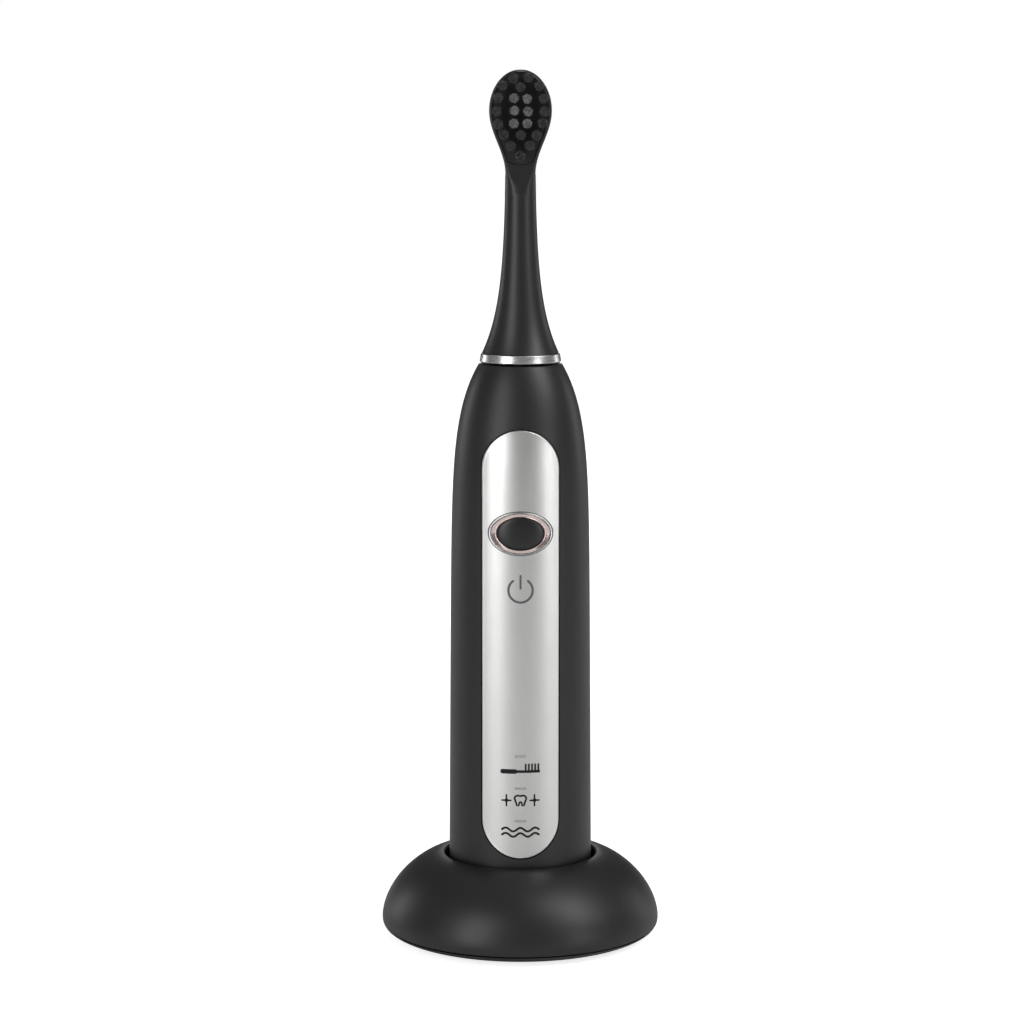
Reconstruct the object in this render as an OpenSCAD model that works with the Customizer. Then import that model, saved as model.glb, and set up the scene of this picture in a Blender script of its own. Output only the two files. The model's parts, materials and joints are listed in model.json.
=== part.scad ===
// Sonic toothbrush standing in its charging base. Millimetres, +Z up.
// The origin is on the table, on the upright axis; the control plate faces -Y.

/* [Charging base] */
// Widest radius of the base
base_r = 32.2; // [32:0.1:34]
// Height of the widest ring above the table
base_wide_z = 4.2; // [4:0.1:4.6]
// Height of the rim around the handle
base_rim_z = 19.3; // [18.8:0.1:20]
// Radius of the base where it turns under to the table
base_foot_r = 22.6; // [22:0.1:23.5]
// Wall thickness of the base cover
base_wall = 1.8; // [1.6:0.1:2]
// Radius of the well that the handle stands in
well_r = 17.4; // [17.2:0.1:17.6]
// Height of the floor of the well
well_floor_z = 9; // [8.8:0.1:9.1]
// Radius of the charging post in the middle of the well
post_r = 4; // [3.8:0.1:4.1]
// Height of the top of the charging post
post_top_z = 17; // [16.5:0.1:17]
// Radius of the hole for the supply cord
cord_hole_r = 1.8; // [1.6:0.1:2]
// Height of the cord hole above the table
cord_hole_z = 8.2; // [8:0.1:8.6]

/* [Handle] */
// Radius of the handle near its foot
handle_r = 16.6; // [16.4:0.05:16.7]
// Loss of radius for each millimetre of height
handle_taper = 0.0076; // [0.006:0.0002:0.009]
// Height of the foot of the handle in the well
handle_foot_z = 9.3; // [9.3:0.1:9.5]
// Height of the top of the handle
handle_top_z = 133.3; // [133:0.1:133.4]
// Wall thickness of the handle
handle_wall = 1.8; // [1.7:0.1:1.9]

/* [Control plate] */
// Height of the lower end of the plate
plate_low_z = 21.4; // [21:0.1:22]
// Height of the upper end of the plate
plate_top_z = 119.4; // [118:0.1:119.6]
// Width of the plate
plate_w = 17.5; // [17:0.1:18]
// Thickness of the plate
plate_t = 0.8; // [0.7:0.05:0.8]
// Height of the middle of the power button
button_z = 96.2; // [95.5:0.1:97]
// Half width of the power button
button_half_w = 5.4; // [5.2:0.05:5.4]
// Half height of the power button
button_half_h = 3.65; // [3.5:0.05:3.7]
// Half width of the button's bezel
bezel_half_w = 7.3; // [7.2:0.05:7.4]
// Half height of the button's bezel
bezel_half_h = 4.95; // [4.9:0.05:5]
// How far the button travels
button_travel = 0.8; // [0.5:0.05:0.8]
// Height of the middle of the power symbol
symbol_z = 83.3; // [83:0.1:84]

/* [Brush head] */
// Height of the top of the brush head
head_top_z = 199.8; // [199.6:0.1:201]
// Height where the oval of the head is widest
oval_z = 190.6; // [190.4:0.1:190.8]
// Half width of the oval
oval_half_w = 7.1; // [7:0.05:7.3]
// Radius of the neck just below the oval
neck_r = 3.42; // [3.3:0.02:3.5]
// Radius of the stem at its foot
stem_foot_r = 8.8; // [8.5:0.05:8.85]
// Radius of one bristle tuft
tuft_r = 0.85; // [0.8:0.05:0.9]
// Free length of the bristles
bristle_len = 10.2; // [9:0.1:10.5]

/* [Drive] */
// Radius of the drive shaft
shaft_r = 2; // [1.9:0.05:2]
// Height of the tip of the drive shaft
shaft_top_z = 150; // [148:0.5:150]
// Radius of the motor can
motor_r = 8; // [7.8:0.1:8]
// Radius of the battery cell
battery_r = 7; // [6.6:0.1:7]

/* [Hidden] */

$fn = 64;
eps = 0.05;

// Base: heights of the parting line, the boards and the screws
plate_under_z = 0.4;
plate_upper_z = 2.3;
cover_edge_z = 2.6;
well_wall_t = 1.6;
well_out = well_r + well_wall_t;
sleeve_top_z = base_rim_z - base_wall;
skirt_top_z = cord_hole_z + 3;
lip_r = 0.7;
foot_pad_r = 3.2;
foot_ring_r = 20.5;
boss_ring_r = 24.2;
boss_angles = [30, 150, 270];
screw_r = 1;
core_r = 2.6;
coil_top_z = well_floor_z - well_wall_t - 0.2;
gland_r = 3.4;
gland_inner_y = 25.6;
gland_flange_y = 27.2;
gland_neck_r = gland_r - 0.95;

// Shape of the dome and of its turned-under edge
dome_side_power = 1.27;
dome_top_power = 1.14;
under_power = 0.714;
dome_steps = 14;

// Crown of the handle: where it begins, how long it is, how sharply it turns in
crown_start_z = 20;
crown_len = 122.8;
crown_sharpness = 10.3;
crown_fullness = 0.865;
shell_low_z = 12;
shell_roof_z = 131.6;
handle_steps = 26;
plate_gap = 0.2;
seal_hole_r = 5;

// Inside of the handle
cap_spigot_r = 14.5;
recess_r = post_r + 0.8;
recess_top_z = post_top_z + 0.8;
socket_wall = 1;
board_back_y = -8.4;
board_front_y = -9.6;
button_back_y = -12.8;
plunger_front_y = -12.3;
battery_low_z = 26;
battery_top_z = 76;
battery_y = 3.5;
motor_low_z = 86;
motor_top_z = 111;
rotor_low_z = 92;
rotor_top_z = 105;
bearing_r = 2.6;
running_gap = 0.05;
nose_low_z = 120;
nose_top_z = 126.4;
mode_light_z = [30.2, 37.9, 45.2];
board_screw_z = [22.2, 81.2];
board_screw_x = 7.2;

// Brush head
ring_low_z = 133.7;
ring_top_z = 135.7;
stem_low_z = 135.8;
spigot_r = 7.2;
insert_r = 3.2;
insert_low_z = 137;
insert_top_z = 151.4;
flat_y = -1.5;
head_front_y = -2.2;
head_back_y = 2.5;
outline_low_z = 176.3;
stem_curl = 11.6;
centre_tuft_x = 1.5;
tuft_pitch_z = 2.8;
tuft_mid_z = 190.5;
tuft_root = 1.6;
// Half spacing across and height of each pair of side tufts
side_tuft_pairs = [[4.1, 196], [5.1, 193.3], [5.35, 190.5], [5, 187.7], [3.6, 185.2]];
// Place across and height of each tuft at the two ends of the head
end_tuft_places = [
    [-1.6, 197.8], [1.6, 197.8], [0, 195.8],
    [0, 185.3], [-2.1, 182.9], [2.1, 182.9], [0, 180.6]
];

// ---- profiles ----

// Radius of the handle at height z
function handle_radius(z) =
    (handle_r - handle_taper * (z - handle_foot_z))
    * pow(1 - pow(max(0, z - crown_start_z) / crown_len, crown_sharpness), crown_fullness);

// Heights from low to high that crowd together towards the top
function crowded(low, high, steps) =
    [for (i = [0 : steps]) high - (high - low) * pow(1 - i / steps, 2)];

// Points of the dome from its widest ring up to radius top_r at height top_z
function dome_points(wide_r, top_r, top_z) =
    [for (i = [0 : dome_steps])
        let (a = 90 * i / dome_steps)
        [top_r + (wide_r - top_r) * pow(cos(a), dome_side_power),
         base_wide_z + (top_z - base_wide_z) * pow(sin(a), dome_top_power)]];

// Radius of the turned-under edge of the base at height z, which is below the widest ring
function under_radius(z) =
    base_foot_r + (base_r - base_foot_r)
    * sqrt(1 - pow((base_wide_z - z) / base_wide_z, 2 / under_power));

// Radius of the stem of the brush head at height z
function stem_radius(z) = neck_r - 0.12 + (stem_foot_r - neck_r + 0.12) * exp(-(z - stem_low_z) / stem_curl);

// Half width of the oval head at height z
function oval_half(z) =
    z < oval_z
    ? neck_r + (oval_half_w - neck_r)
        * (1 - cos(180 * max(0, z - outline_low_z) / (oval_z - outline_low_z))) / 2
    : oval_half_w * sqrt(max(0, 1 - pow((z - oval_z) / (head_top_z - oval_z), 2)));

// ---- shared shapes ----

// Tube or disc on the upright axis
module tube(outer, inner, low, high) {
    difference() {
        translate([0, 0, low])
            cylinder(r = outer, h = high - low);
        translate([0, 0, low - 1])
            cylinder(r = inner, h = high - low + 2);
    }
}

// Rod on the upright axis
module rod(r, low, high) {
    translate([0, 0, low])
        cylinder(r = r, h = high - low);
}

// Block given by its lowest and highest corners
module block(low, high) {
    translate(low)
        cube(high - low);
}

// Stands a flat shape drawn in X and Z upright, between two depths
module upright(front_y, back_y) {
    translate([0, back_y, 0])
        rotate([90, 0, 0])
            linear_extrude(height = back_y - front_y)
                children();
}

// Rod along Y
module rod_y(r, x, z, front_y, back_y) {
    translate([x, back_y, z])
        rotate([90, 0, 0])
            cylinder(r = r, h = back_y - front_y);
}

// Layer that follows the skin of the handle, between two offsets from it
module skin_layer(outer, inner, low, high) {
    heights = crowded(low, high, handle_steps);
    rotate_extrude()
        polygon(concat(
            [for (z = heights) [handle_radius(z) + outer, z]],
            [for (i = [len(heights) - 1 : -1 : 0]) [handle_radius(heights[i]) + inner, heights[i]]]));
}

// Outline of the control plate in X and Z, grown by a gap
module plate_outline(grow) {
    end_r = plate_w / 2;
    for (z = [plate_low_z + end_r, plate_top_z - end_r])
        translate([0, z])
            circle(r = end_r + grow);
    translate([-end_r - grow, plate_low_z + end_r])
        square([plate_w + 2 * grow, plate_top_z - plate_low_z - plate_w]);
}

// Ellipse around the middle of the button, in X and Z
module button_ellipse(half_w, half_h) {
    translate([0, button_z])
        scale([half_w, half_h])
            circle(r = 1);
}

// Power symbol in X and Z: a ring that is open at the top, with a bar in the opening
module symbol_outline(grow) {
    ring_r = 3;
    stroke = 0.55;
    translate([0, symbol_z]) {
        difference() {
            circle(r = ring_r + grow);
            circle(r = ring_r - stroke - grow);
            polygon([[0, 0], [-3.4 + grow, 4.4], [3.4 - grow, 4.4]]);
        }
        translate([-stroke / 2 - grow, 0.2 - grow])
            square([stroke + 2 * grow, 3.4 + 2 * grow]);
    }
}

// Self-tapping screw that is driven upward, with its head at the bottom
module screw_up(head_r, head_h, shank_r, length) {
    difference() {
        cylinder(r = head_r, h = head_h);
        block([-head_r * 0.6, -0.25, -1], [head_r * 0.6, 0.25, head_h * 0.5]);
        block([-0.25, -head_r * 0.6, -1], [0.25, head_r * 0.6, head_h * 0.5]);
    }
    translate([0, 0, head_h])
        cylinder(r = shank_r, h = length);
}

// ---- charging base ----

// Outer moulding of the base before it is parted into a dome and a skirt
module cover_shell() {
    wide_in = base_r - base_wall;
    lip_z = base_rim_z - lip_r;
    under = [for (z = [cover_edge_z, cover_edge_z + 0.5, cover_edge_z + 1]) [under_radius(z), z]];
    lip = [for (a = [75 : -15 : 0]) [well_r + lip_r - lip_r * cos(a), lip_z + lip_r * sin(a)]];
    inside = dome_points(wide_in, well_out, sleeve_top_z);
    rotate_extrude($fn = 96)
        polygon(concat(
            under,
            dome_points(base_r, well_r + lip_r, base_rim_z),
            lip,
            [[well_r, sleeve_top_z]],
            [for (i = [dome_steps : -1 : 0]) inside[i]],
            [[wide_in, cover_edge_z]]));
}

// Dome of the base, with the bosses for the screws
module base_cover() {
    color("#232323")
        difference() {
            union() {
                intersection() {
                    cover_shell();
                    block([-base_r - 1, -base_r - 1, skirt_top_z], [base_r + 1, base_r + 1, base_rim_z + 1]);
                }
                for (a = boss_angles)
                    rotate(a)
                        translate([boss_ring_r, 0, plate_upper_z])
                            cylinder(r = 2.4, h = 12);
            }
            for (a = boss_angles)
                rotate(a)
                    translate([boss_ring_r, 0, 0])
                        cylinder(r = screw_r + eps, h = 11);
        }
}

// Skirt under the dome, with the hole for the cord
module base_skirt() {
    color("#232323")
        difference() {
            intersection() {
                cover_shell();
                block([-base_r - 1, -base_r - 1, cover_edge_z - 1], [base_r + 1, base_r + 1, skirt_top_z]);
            }
            rod_y(gland_neck_r + eps, 0, cord_hole_z, 24, 40);
        }
}

// Wall of the well, standing on its floor under the dome
module well_sleeve() {
    color("#232323")
        rotate_extrude($fn = 96)
            polygon([
                [well_r, well_floor_z], [well_out, well_floor_z], [well_out, sleeve_top_z],
                [well_r, sleeve_top_z]]);
}

// Floor of the well, with the hollow post that the handle goes over
module charging_post() {
    post_in = post_r - 1.2;
    under_z = well_floor_z - well_wall_t;
    color("#232323")
        rotate_extrude($fn = 96)
            polygon([
                [post_in, under_z], [well_out, under_z], [well_out, well_floor_z],
                [post_r + 0.5, well_floor_z], [post_r, well_floor_z + 0.5],
                [post_r, post_top_z - 0.6], [post_r - 0.6, post_top_z], [0, post_top_z],
                [0, post_top_z - 1.2], [post_in, post_top_z - 1.2]]);
}

module base_plate() {
    edge = [for (z = [plate_under_z : 0.38 : plate_upper_z]) [under_radius(z), z]];
    color("#262626")
        difference() {
            union() {
                rotate_extrude($fn = 96)
                    polygon(concat(
                        [[0, plate_under_z]],
                        edge,
                        [[29.9, plate_upper_z], [29.9, 3.8], [28.7, 3.8],
                         [28.7, plate_upper_z], [0, plate_upper_z]]));
                for (x = [-14, 14])
                    translate([x, 17.5, plate_upper_z])
                        cylinder(r = 1.8, h = 1.9);
            }
            for (a = boss_angles)
                rotate(a)
                    translate([boss_ring_r, 0, 0]) {
                        cylinder(r = 2.2, h = 1.6);
                        cylinder(r = screw_r + 0.2, h = 4);
                    }
            for (a = [45 : 90 : 315])
                rotate(a)
                    translate([foot_ring_r, 0, 0])
                        cylinder(r = foot_pad_r + eps, h = 0.9);
        }
}

module rubber_feet() {
    color("#1a1a1a")
        for (a = [45 : 90 : 315])
            rotate(a)
                translate([foot_ring_r, 0, 0]) {
                    cylinder(r1 = foot_pad_r - 0.3, r2 = foot_pad_r, h = 0.3);
                    translate([0, 0, 0.3])
                        cylinder(r = foot_pad_r, h = 0.6);
                }
}

module base_screws() {
    color("silver")
        for (a = boss_angles)
            rotate(a)
                translate([boss_ring_r, 0, 0.5])
                    screw_up(2, 1.1, screw_r, 8);
}

// Rubber bush in the back wall of the base; the cord itself is a separate supply
module cord_gland() {
    color("#1c1c1c")
        difference() {
            union() {
                rod_y(gland_neck_r, 0, cord_hole_z, gland_inner_y, base_r);
                rod_y(gland_r, 0, cord_hole_z, gland_inner_y, gland_flange_y);
            }
            rod_y(cord_hole_r, 0, cord_hole_z, gland_inner_y - 1, base_r + 1);
        }
}

module coil_bobbin() {
    color("#d9d4c4") {
        tube(4.4, core_r + eps, plate_upper_z, coil_top_z);
        tube(9.2, 4.4 - eps, plate_upper_z, plate_upper_z + 0.6);
        tube(9.2, 4.4 - eps, coil_top_z - 0.6, coil_top_z);
    }
}

module primary_coil() {
    color("#a8562a")
        tube(8.7, 4.4 + eps, plate_upper_z + 0.65, coil_top_z - 0.65);
}

module ferrite_core() {
    color("#3a3a3c")
        rod(core_r, plate_upper_z, post_top_z - 1.4);
}

module charger_board() {
    color("#1f5c37")
        difference() {
            intersection() {
                tube(26, 19.8, 4.2, 5.6);
                block([-18, 8, 4], [18, 30, 6]);
            }
            block([-3.9, 25.2, 3], [3.9, 30, 7]);
        }
}

module charger_components() {
    color("#2b2b2e") {
        block([8, 20, 5.6], [12, 23.2, 8.4]);
        block([-6, 20.6, 5.6], [-1, 24, 7.2]);
        block([1, 20.8, 5.6], [5, 23.6, 7.6]);
    }
    color("#40506a")
        for (x = [-13.5, -9.6])
            translate([x, x < -12 ? 17.3 : 21, 5.6])
                cylinder(r = 2, h = 5.2);
}

// ---- handle ----

module handle_shell() {
    heights = crowded(shell_low_z, handle_top_z, handle_steps);
    inner_heights = crowded(shell_low_z, shell_roof_z, handle_steps);
    color("#272727")
        difference() {
            rotate_extrude()
                polygon(concat(
                    [for (z = heights) [handle_radius(z), z]],
                    [[seal_hole_r, handle_top_z], [seal_hole_r, shell_roof_z]],
                    [for (i = [len(inner_heights) - 1 : -1 : 0])
                        [handle_radius(inner_heights[i] + 0.6 * handle_wall) - handle_wall,
                         inner_heights[i]]]));
            intersection() {
                skin_layer(1, -plate_t - eps, plate_low_z - 2, plate_top_z + 2);
                upright(-20, -10)
                    plate_outline(plate_gap);
            }
            upright(-20, -10)
                button_ellipse(button_half_w + 0.2, button_half_h + 0.2);
            for (z = mode_light_z)
                block([-1.3, -20, z - 0.3], [1.3, -10, z + 0.3]);
        }
}

// Foot of the handle
module bottom_cap() {
    edge_r = handle_r - 0.1;
    hole_r = recess_r + socket_wall + 0.02;
    color("#272727")
        difference() {
            rotate_extrude()
                polygon([
                    [hole_r, handle_foot_z], [edge_r - 1.2, handle_foot_z],
                    [edge_r - 0.4, handle_foot_z + 0.4], [edge_r, handle_foot_z + 1.2],
                    [edge_r, shell_low_z - 0.15], [cap_spigot_r, shell_low_z - 0.15],
                    [cap_spigot_r, 16.2], [12.2, 16.2], [12.2, 11], [hole_r, 11]]);
            tube(cap_spigot_r + 1, cap_spigot_r - 1.1, 13.3, 14.8);
        }
}

// Blind tube in the foot of the handle, which goes over the charging post
module charging_socket() {
    color("#272727")
        difference() {
            rod(recess_r + socket_wall, handle_foot_z, recess_top_z + 1.1);
            rod(recess_r, handle_foot_z - 1, recess_top_z);
        }
}

module cap_seal() {
    color("#b0382c")
        translate([0, 0, 14.05])
            rotate_extrude()
                translate([cap_spigot_r - 0.42, 0])
                    circle(r = 0.62, $fn = 32);
}

module receiver_coil() {
    color("#b4652f")
        tube(9.4, recess_r + socket_wall + 0.1, 11.2, 17.6);
}

// Carrier for the cell, the board and the motor
module chassis() {
    color("#d8d8d2")
        difference() {
            union() {
                intersection() {
                    rotate_extrude()
                        polygon([
                            [11.9, 20], [13.4, 20], [13.4, 104],
                            [11.4, 114.8], [9.9, 114.8], [11.9, 104]]);
                    block([-14, 5.5, 19], [14, 15, 116]);
                }
                for (z = [21, 80])
                    intersection() {
                        rod(13.2, z, z + 2.4);
                        block([-14, board_back_y, z], [14, 14, z + 2.4]);
                    }
                rod(10.8, 112.6, 114.8);
                rod(5.2, 114.8, nose_top_z);
            }
            rod(3.2, 112, nose_low_z);
            rod(4, nose_low_z, nose_top_z + 1);
            rod(2.6, 20, 24);
            rod(4.5, 79, 83);
            for (z = board_screw_z, x = [-board_screw_x, board_screw_x])
                rod_y(0.8, x, z, board_back_y - 1, -3);
            // Front of the top deck, clear of the shell and the board
            block([-12, -12, 112], [12, -8.2, 115]);
        }
}

module battery_cell() {
    color("#2f6fae")
        translate([0, battery_y, 0]) {
            rod(battery_r, battery_low_z, battery_top_z);
            rod(2.2, battery_top_z, battery_top_z + 0.8);
        }
}

module battery_tabs() {
    color("#c9c9cc") {
        block([-2, board_back_y + 0.1, battery_low_z - 0.25], [2, battery_y + 3, battery_low_z]);
        block([-2, board_back_y + 0.1, battery_low_z - 0.25], [2, board_back_y + 0.35, battery_low_z + 4]);
        block([-2, board_back_y + 0.1, battery_top_z + 0.8], [2, battery_y + 3, battery_top_z + 1.05]);
        block([-2, board_back_y + 0.1, battery_top_z - 3], [2, board_back_y + 0.35, battery_top_z + 1.05]);
    }
}

module circuit_board() {
    color("#1f5c37")
        difference() {
            upright(board_front_y, board_back_y)
                translate([-8.6, 19.4])
                    square([17.2, 91.6]);
            for (z = board_screw_z, x = [-board_screw_x, board_screw_x])
                rod_y(0.85, x, z, board_front_y - 1, board_back_y + 1);
        }
}

module board_chips() {
    color("#1b1b1d") {
        block([-3.5, board_front_y - 1, 60], [3.5, board_front_y, 67]);
        block([-2.5, board_front_y - 1.1, 50], [2.5, board_front_y, 54]);
    }
    color("#b79a6a")
        for (z = [56, 69, 72, 75], x = [-5.5, 4])
            block([x, board_front_y - 0.7, z], [x + 1.6, board_front_y, z + 0.9]);
}

module board_screws() {
    color("silver")
        for (z = board_screw_z, x = [-board_screw_x, board_screw_x]) {
            rod_y(1.35, x, z, board_front_y - 0.8, board_front_y);
            rod_y(0.75, x, z, board_front_y, -4);
        }
}

module face_plate() {
    color("#c9cacb")
        difference() {
            intersection() {
                skin_layer(0.1, -plate_t, plate_low_z - 1, plate_top_z + 1);
                upright(-20, -10)
                    plate_outline(0);
            }
            upright(-20, -10)
                button_ellipse(bezel_half_w + eps, bezel_half_h + eps);
            intersection() {
                skin_layer(1, -0.3, symbol_z - 5, symbol_z + 5);
                upright(-20, -10)
                    symbol_outline(0.02);
            }
            for (z = mode_light_z)
                block([-1.25, -20, z - 0.25], [1.25, -10, z + 0.25]);
        }
}

module power_symbol() {
    color("#55565a")
        intersection() {
            skin_layer(0.1, -0.28, symbol_z - 5, symbol_z + 5);
            upright(-20, -10)
                symbol_outline(0);
        }
}

module mode_leds() {
    color("#f4f4ee")
        for (z = mode_light_z)
            block([-1, -10.8, z - 0.6], [1, board_front_y, z + 0.6]);
}

module mode_light_pipes() {
    color("#a9aaac")
        intersection() {
            skin_layer(0.1, -6, 28, 48);
            for (z = mode_light_z)
                block([-1.2, -20, z - 0.2], [1.2, -10.9, z + 0.2]);
        }
}

module button_bezel() {
    color("#c8a49c")
        difference() {
            intersection() {
                skin_layer(0.75, -plate_t, button_z - 8, button_z + 8);
                upright(-20, -10)
                    button_ellipse(bezel_half_w, bezel_half_h);
            }
            upright(-20, -10)
                button_ellipse(button_half_w + 0.1, button_half_h + 0.1);
        }
}

// Soft ring behind the opening of the button
module button_seal() {
    color("#3c3c3e")
        difference() {
            intersection() {
                skin_layer(-handle_wall - 0.15, -handle_wall - 0.65, button_z - 8, button_z + 8);
                upright(-20, -10)
                    button_ellipse(7, 5.3);
            }
            upright(-20, -10)
                button_ellipse(button_half_w + 0.1, button_half_h + 0.1);
        }
}

module switch_body() {
    color("#dcdcd6")
        difference() {
            block([-3, -11.4, button_z - 2.2], [3, board_front_y, button_z + 2.2]);
            rod_y(1.2, 0, button_z, -12, -10.1);
        }
}

// ---- motor ----

module motor_can() {
    wall = 0.7;
    color("#b9babd")
        difference() {
            rod(motor_r, motor_low_z, motor_top_z);
            rod(motor_r - wall, motor_low_z + 0.8, motor_top_z - 0.8);
            rod(bearing_r, motor_low_z - 1, motor_top_z + 1);
        }
}

module stator_core() {
    color("#7d7f83")
        intersection() {
            union() {
                tube(motor_r - 0.75, motor_r - 1.4, rotor_low_z, rotor_top_z);
                difference() {
                    tube(5.05, 4.4, rotor_low_z, rotor_top_z);
                    for (side = [-1, 1])
                        block([-2.6, side > 0 ? 0 : -9, 80], [2.6, side > 0 ? 9 : 0, 120]);
                }
                for (side = [-1, 1])
                    block(
                        [side > 0 ? 4.9 : -6.8, -1.2, rotor_low_z],
                        [side > 0 ? 6.8 : -4.9, 1.2, rotor_top_z]);
            }
            rod(motor_r - 0.75, rotor_low_z, rotor_top_z);
        }
}

module stator_coils() {
    color("#b4652f")
        for (side = [-1, 1])
            difference() {
                block(
                    [side > 0 ? 5.2 : -5.8, -2.7, rotor_low_z - 1.5],
                    [side > 0 ? 5.8 : -5.2, 2.7, rotor_top_z + 1.5]);
                block([-9, -1.25, rotor_low_z - eps], [9, 1.25, rotor_top_z + eps]);
            }
}

module motor_bearings() {
    color("#b08d4c")
        for (end = [[motor_low_z, 0], [motor_top_z, 180]])
            translate([0, 0, end[0]])
                rotate([end[1], 0, 0]) {
                    tube(bearing_r, shaft_r + running_gap, 0, 2);
                    tube(3.5, shaft_r + running_gap, -1, 0);
                }
}

module nose_bushing() {
    color("#b08d4c")
        tube(4, shaft_r + running_gap, nose_low_z, nose_top_z - 0.4);
}

module shaft_seal() {
    color("#2a2a2c")
        difference() {
            union() {
                rod(seal_hole_r - eps, shell_roof_z - 1, handle_top_z - 0.1);
                rod(seal_hole_r + 1.4, shell_roof_z - 1.6, shell_roof_z - eps);
            }
            rod(shaft_r + running_gap, shell_roof_z - 4, handle_top_z + 1);
            rod(3.4, shell_roof_z - 2, handle_top_z - 1.1);
        }
}

// ---- button ----

module power_button() {
    color("#1d1d1e") {
        intersection() {
            skin_layer(0.5, -6, button_z - 6, button_z + 6);
            upright(-20, button_back_y)
                button_ellipse(button_half_w, button_half_h);
        }
        upright(button_back_y - eps, plunger_front_y)
            button_ellipse(3.4, 4.6);
    }
}

module switch_plunger() {
    color("#b8452f")
        rod_y(1.1, 0, button_z, plunger_front_y, -11);
}

// ---- drive ----

module drive_shaft() {
    color("#b4b6ba")
        difference() {
            union() {
                rod(shaft_r, motor_low_z - 1.6, shaft_top_z - 0.4);
                translate([0, 0, shaft_top_z - 0.4])
                    cylinder(r1 = shaft_r, r2 = shaft_r - 0.4, h = 0.4);
                rod(2.9, motor_low_z + 2.4, motor_low_z + 3.2);
                rod(2.9, motor_top_z - 3.4, motor_top_z - 2.6);
            }
            block([-3, -3, 139], [3, flat_y, shaft_top_z + 1]);
        }
}

module rotor_hub() {
    color("#8c8e92")
        tube(3, shaft_r, rotor_low_z - 0.5, rotor_top_z + 0.5);
}

module rotor_magnets() {
    color("#4a4c52")
        difference() {
            tube(4, 3, rotor_low_z, rotor_top_z);
            block([-0.6, -6, 80], [0.6, 6, 120]);
        }
}

// ---- brush head ----

module head_stem() {
    // The stem runs on inside the foot of the oval
    stem_top_z = outline_low_z + 1;
    stem_heights = [for (i = [0 : 24]) stem_low_z + (stem_top_z - stem_low_z) * pow(i / 24, 1.4)];
    outline_heights = [for (i = [0 : 16]) outline_low_z - 2 + (oval_z - outline_low_z + 2) * i / 16];
    crown_heights = [for (a = [6 : 6 : 84]) oval_z + (head_top_z - oval_z) * sin(a)];
    side = concat(outline_heights, crown_heights);
    color("#262626")
        difference() {
            union() {
                rotate_extrude()
                    polygon(concat(
                        [[0, ring_low_z + 0.1], [spigot_r - 0.4, ring_low_z + 0.1],
                         [spigot_r, ring_low_z + 0.5], [spigot_r, stem_low_z]],
                        [for (z = stem_heights) [stem_radius(z), z]],
                        [[0, stem_top_z]]));
                intersection() {
                    upright(head_front_y, neck_r)
                        polygon(concat(
                            [for (z = side) [oval_half(z), z]],
                            [[0, head_top_z]],
                            [for (i = [len(side) - 1 : -1 : 0]) [-oval_half(side[i]), side[i]]]));
                    rotate([90, 0, 90])
                        linear_extrude(height = 30, center = true)
                            polygon([
                                [head_front_y, 170], [head_front_y, head_top_z - 0.8],
                                [head_front_y + 0.6, head_top_z], [0.8, head_top_z],
                                [1.9, head_top_z - 1.2], [head_back_y, head_top_z - 4],
                                [head_back_y, 187], [3.1, 180], [neck_r, 174], [neck_r, 170]]);
                }
            }
            // Flat front of the head, running out on the round neck
            rotate([90, 0, 90])
                linear_extrude(height = 30, center = true)
                    polygon([
                        [head_front_y, 175.2], [-3.6, 171.6], [-12, 171.6],
                        [-12, 202], [head_front_y, 202]]);
            rod(5.6, ring_low_z - 1, 139.5);
            rod(insert_r, ring_low_z, insert_top_z + eps);
            tuft_sockets();
        }
}

module tuft_sockets() {
    root_y = head_front_y + tuft_root;
    for (x = [-centre_tuft_x, centre_tuft_x], row = [-1 : 1])
        rod_y(tuft_r, x, tuft_mid_z + row * tuft_pitch_z, head_front_y - 1, root_y);
    for (pair = side_tuft_pairs, side = [-1, 1])
        rod_y(tuft_r, side * pair[0], pair[1], head_front_y - 1, root_y);
    for (place = end_tuft_places)
        rod_y(tuft_r, place[0], place[1], head_front_y - 1, root_y);
}

module trim_ring() {
    color("#d6d6d8")
        rotate_extrude()
            polygon([
                [spigot_r + eps, ring_low_z + 0.1], [9.1, ring_low_z], [9.35, ring_low_z + 0.25],
                [9.05, ring_top_z - 0.2], [8.9, ring_top_z], [spigot_r + eps, ring_top_z]]);
}

// Hard sleeve in the stem with a D-shaped bore for the shaft
module coupling_insert() {
    bore_r = shaft_r + running_gap;
    color("#e6e6e2")
        difference() {
            rod(insert_r, insert_low_z, insert_top_z);
            difference() {
                rod(bore_r, insert_low_z - 1, shaft_top_z + 0.6);
                block([-4, -4, 139.2], [4, flat_y - running_gap, 160]);
            }
            tube(insert_r + 1, insert_r - 0.35, 137.9, 138.7);
        }
}

module retaining_clip() {
    color("#a7a9ad")
        difference() {
            tube(4.1, insert_r - 0.3, 138, 138.6);
            block([-1.6, 0, 137], [1.6, 6, 140]);
        }
}

// One tuft, standing out of the front of the head
module tuft(x, z, length) {
    rod_y(tuft_r, x, z, head_front_y - length, head_front_y + tuft_root);
}

module centre_tufts() {
    color("#6a6a6c")
        for (x = [-centre_tuft_x, centre_tuft_x], row = [-1 : 1])
            tuft(x, tuft_mid_z + row * tuft_pitch_z, bristle_len - 1);
}

module side_tufts() {
    color("#1c1c1c")
        for (pair = side_tuft_pairs, side = [-1, 1])
            tuft(side * pair[0], pair[1], bristle_len);
}

module end_tufts() {
    color("#1c1c1c")
        for (place = end_tuft_places)
            tuft(place[0], place[1], bristle_len);
}

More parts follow.
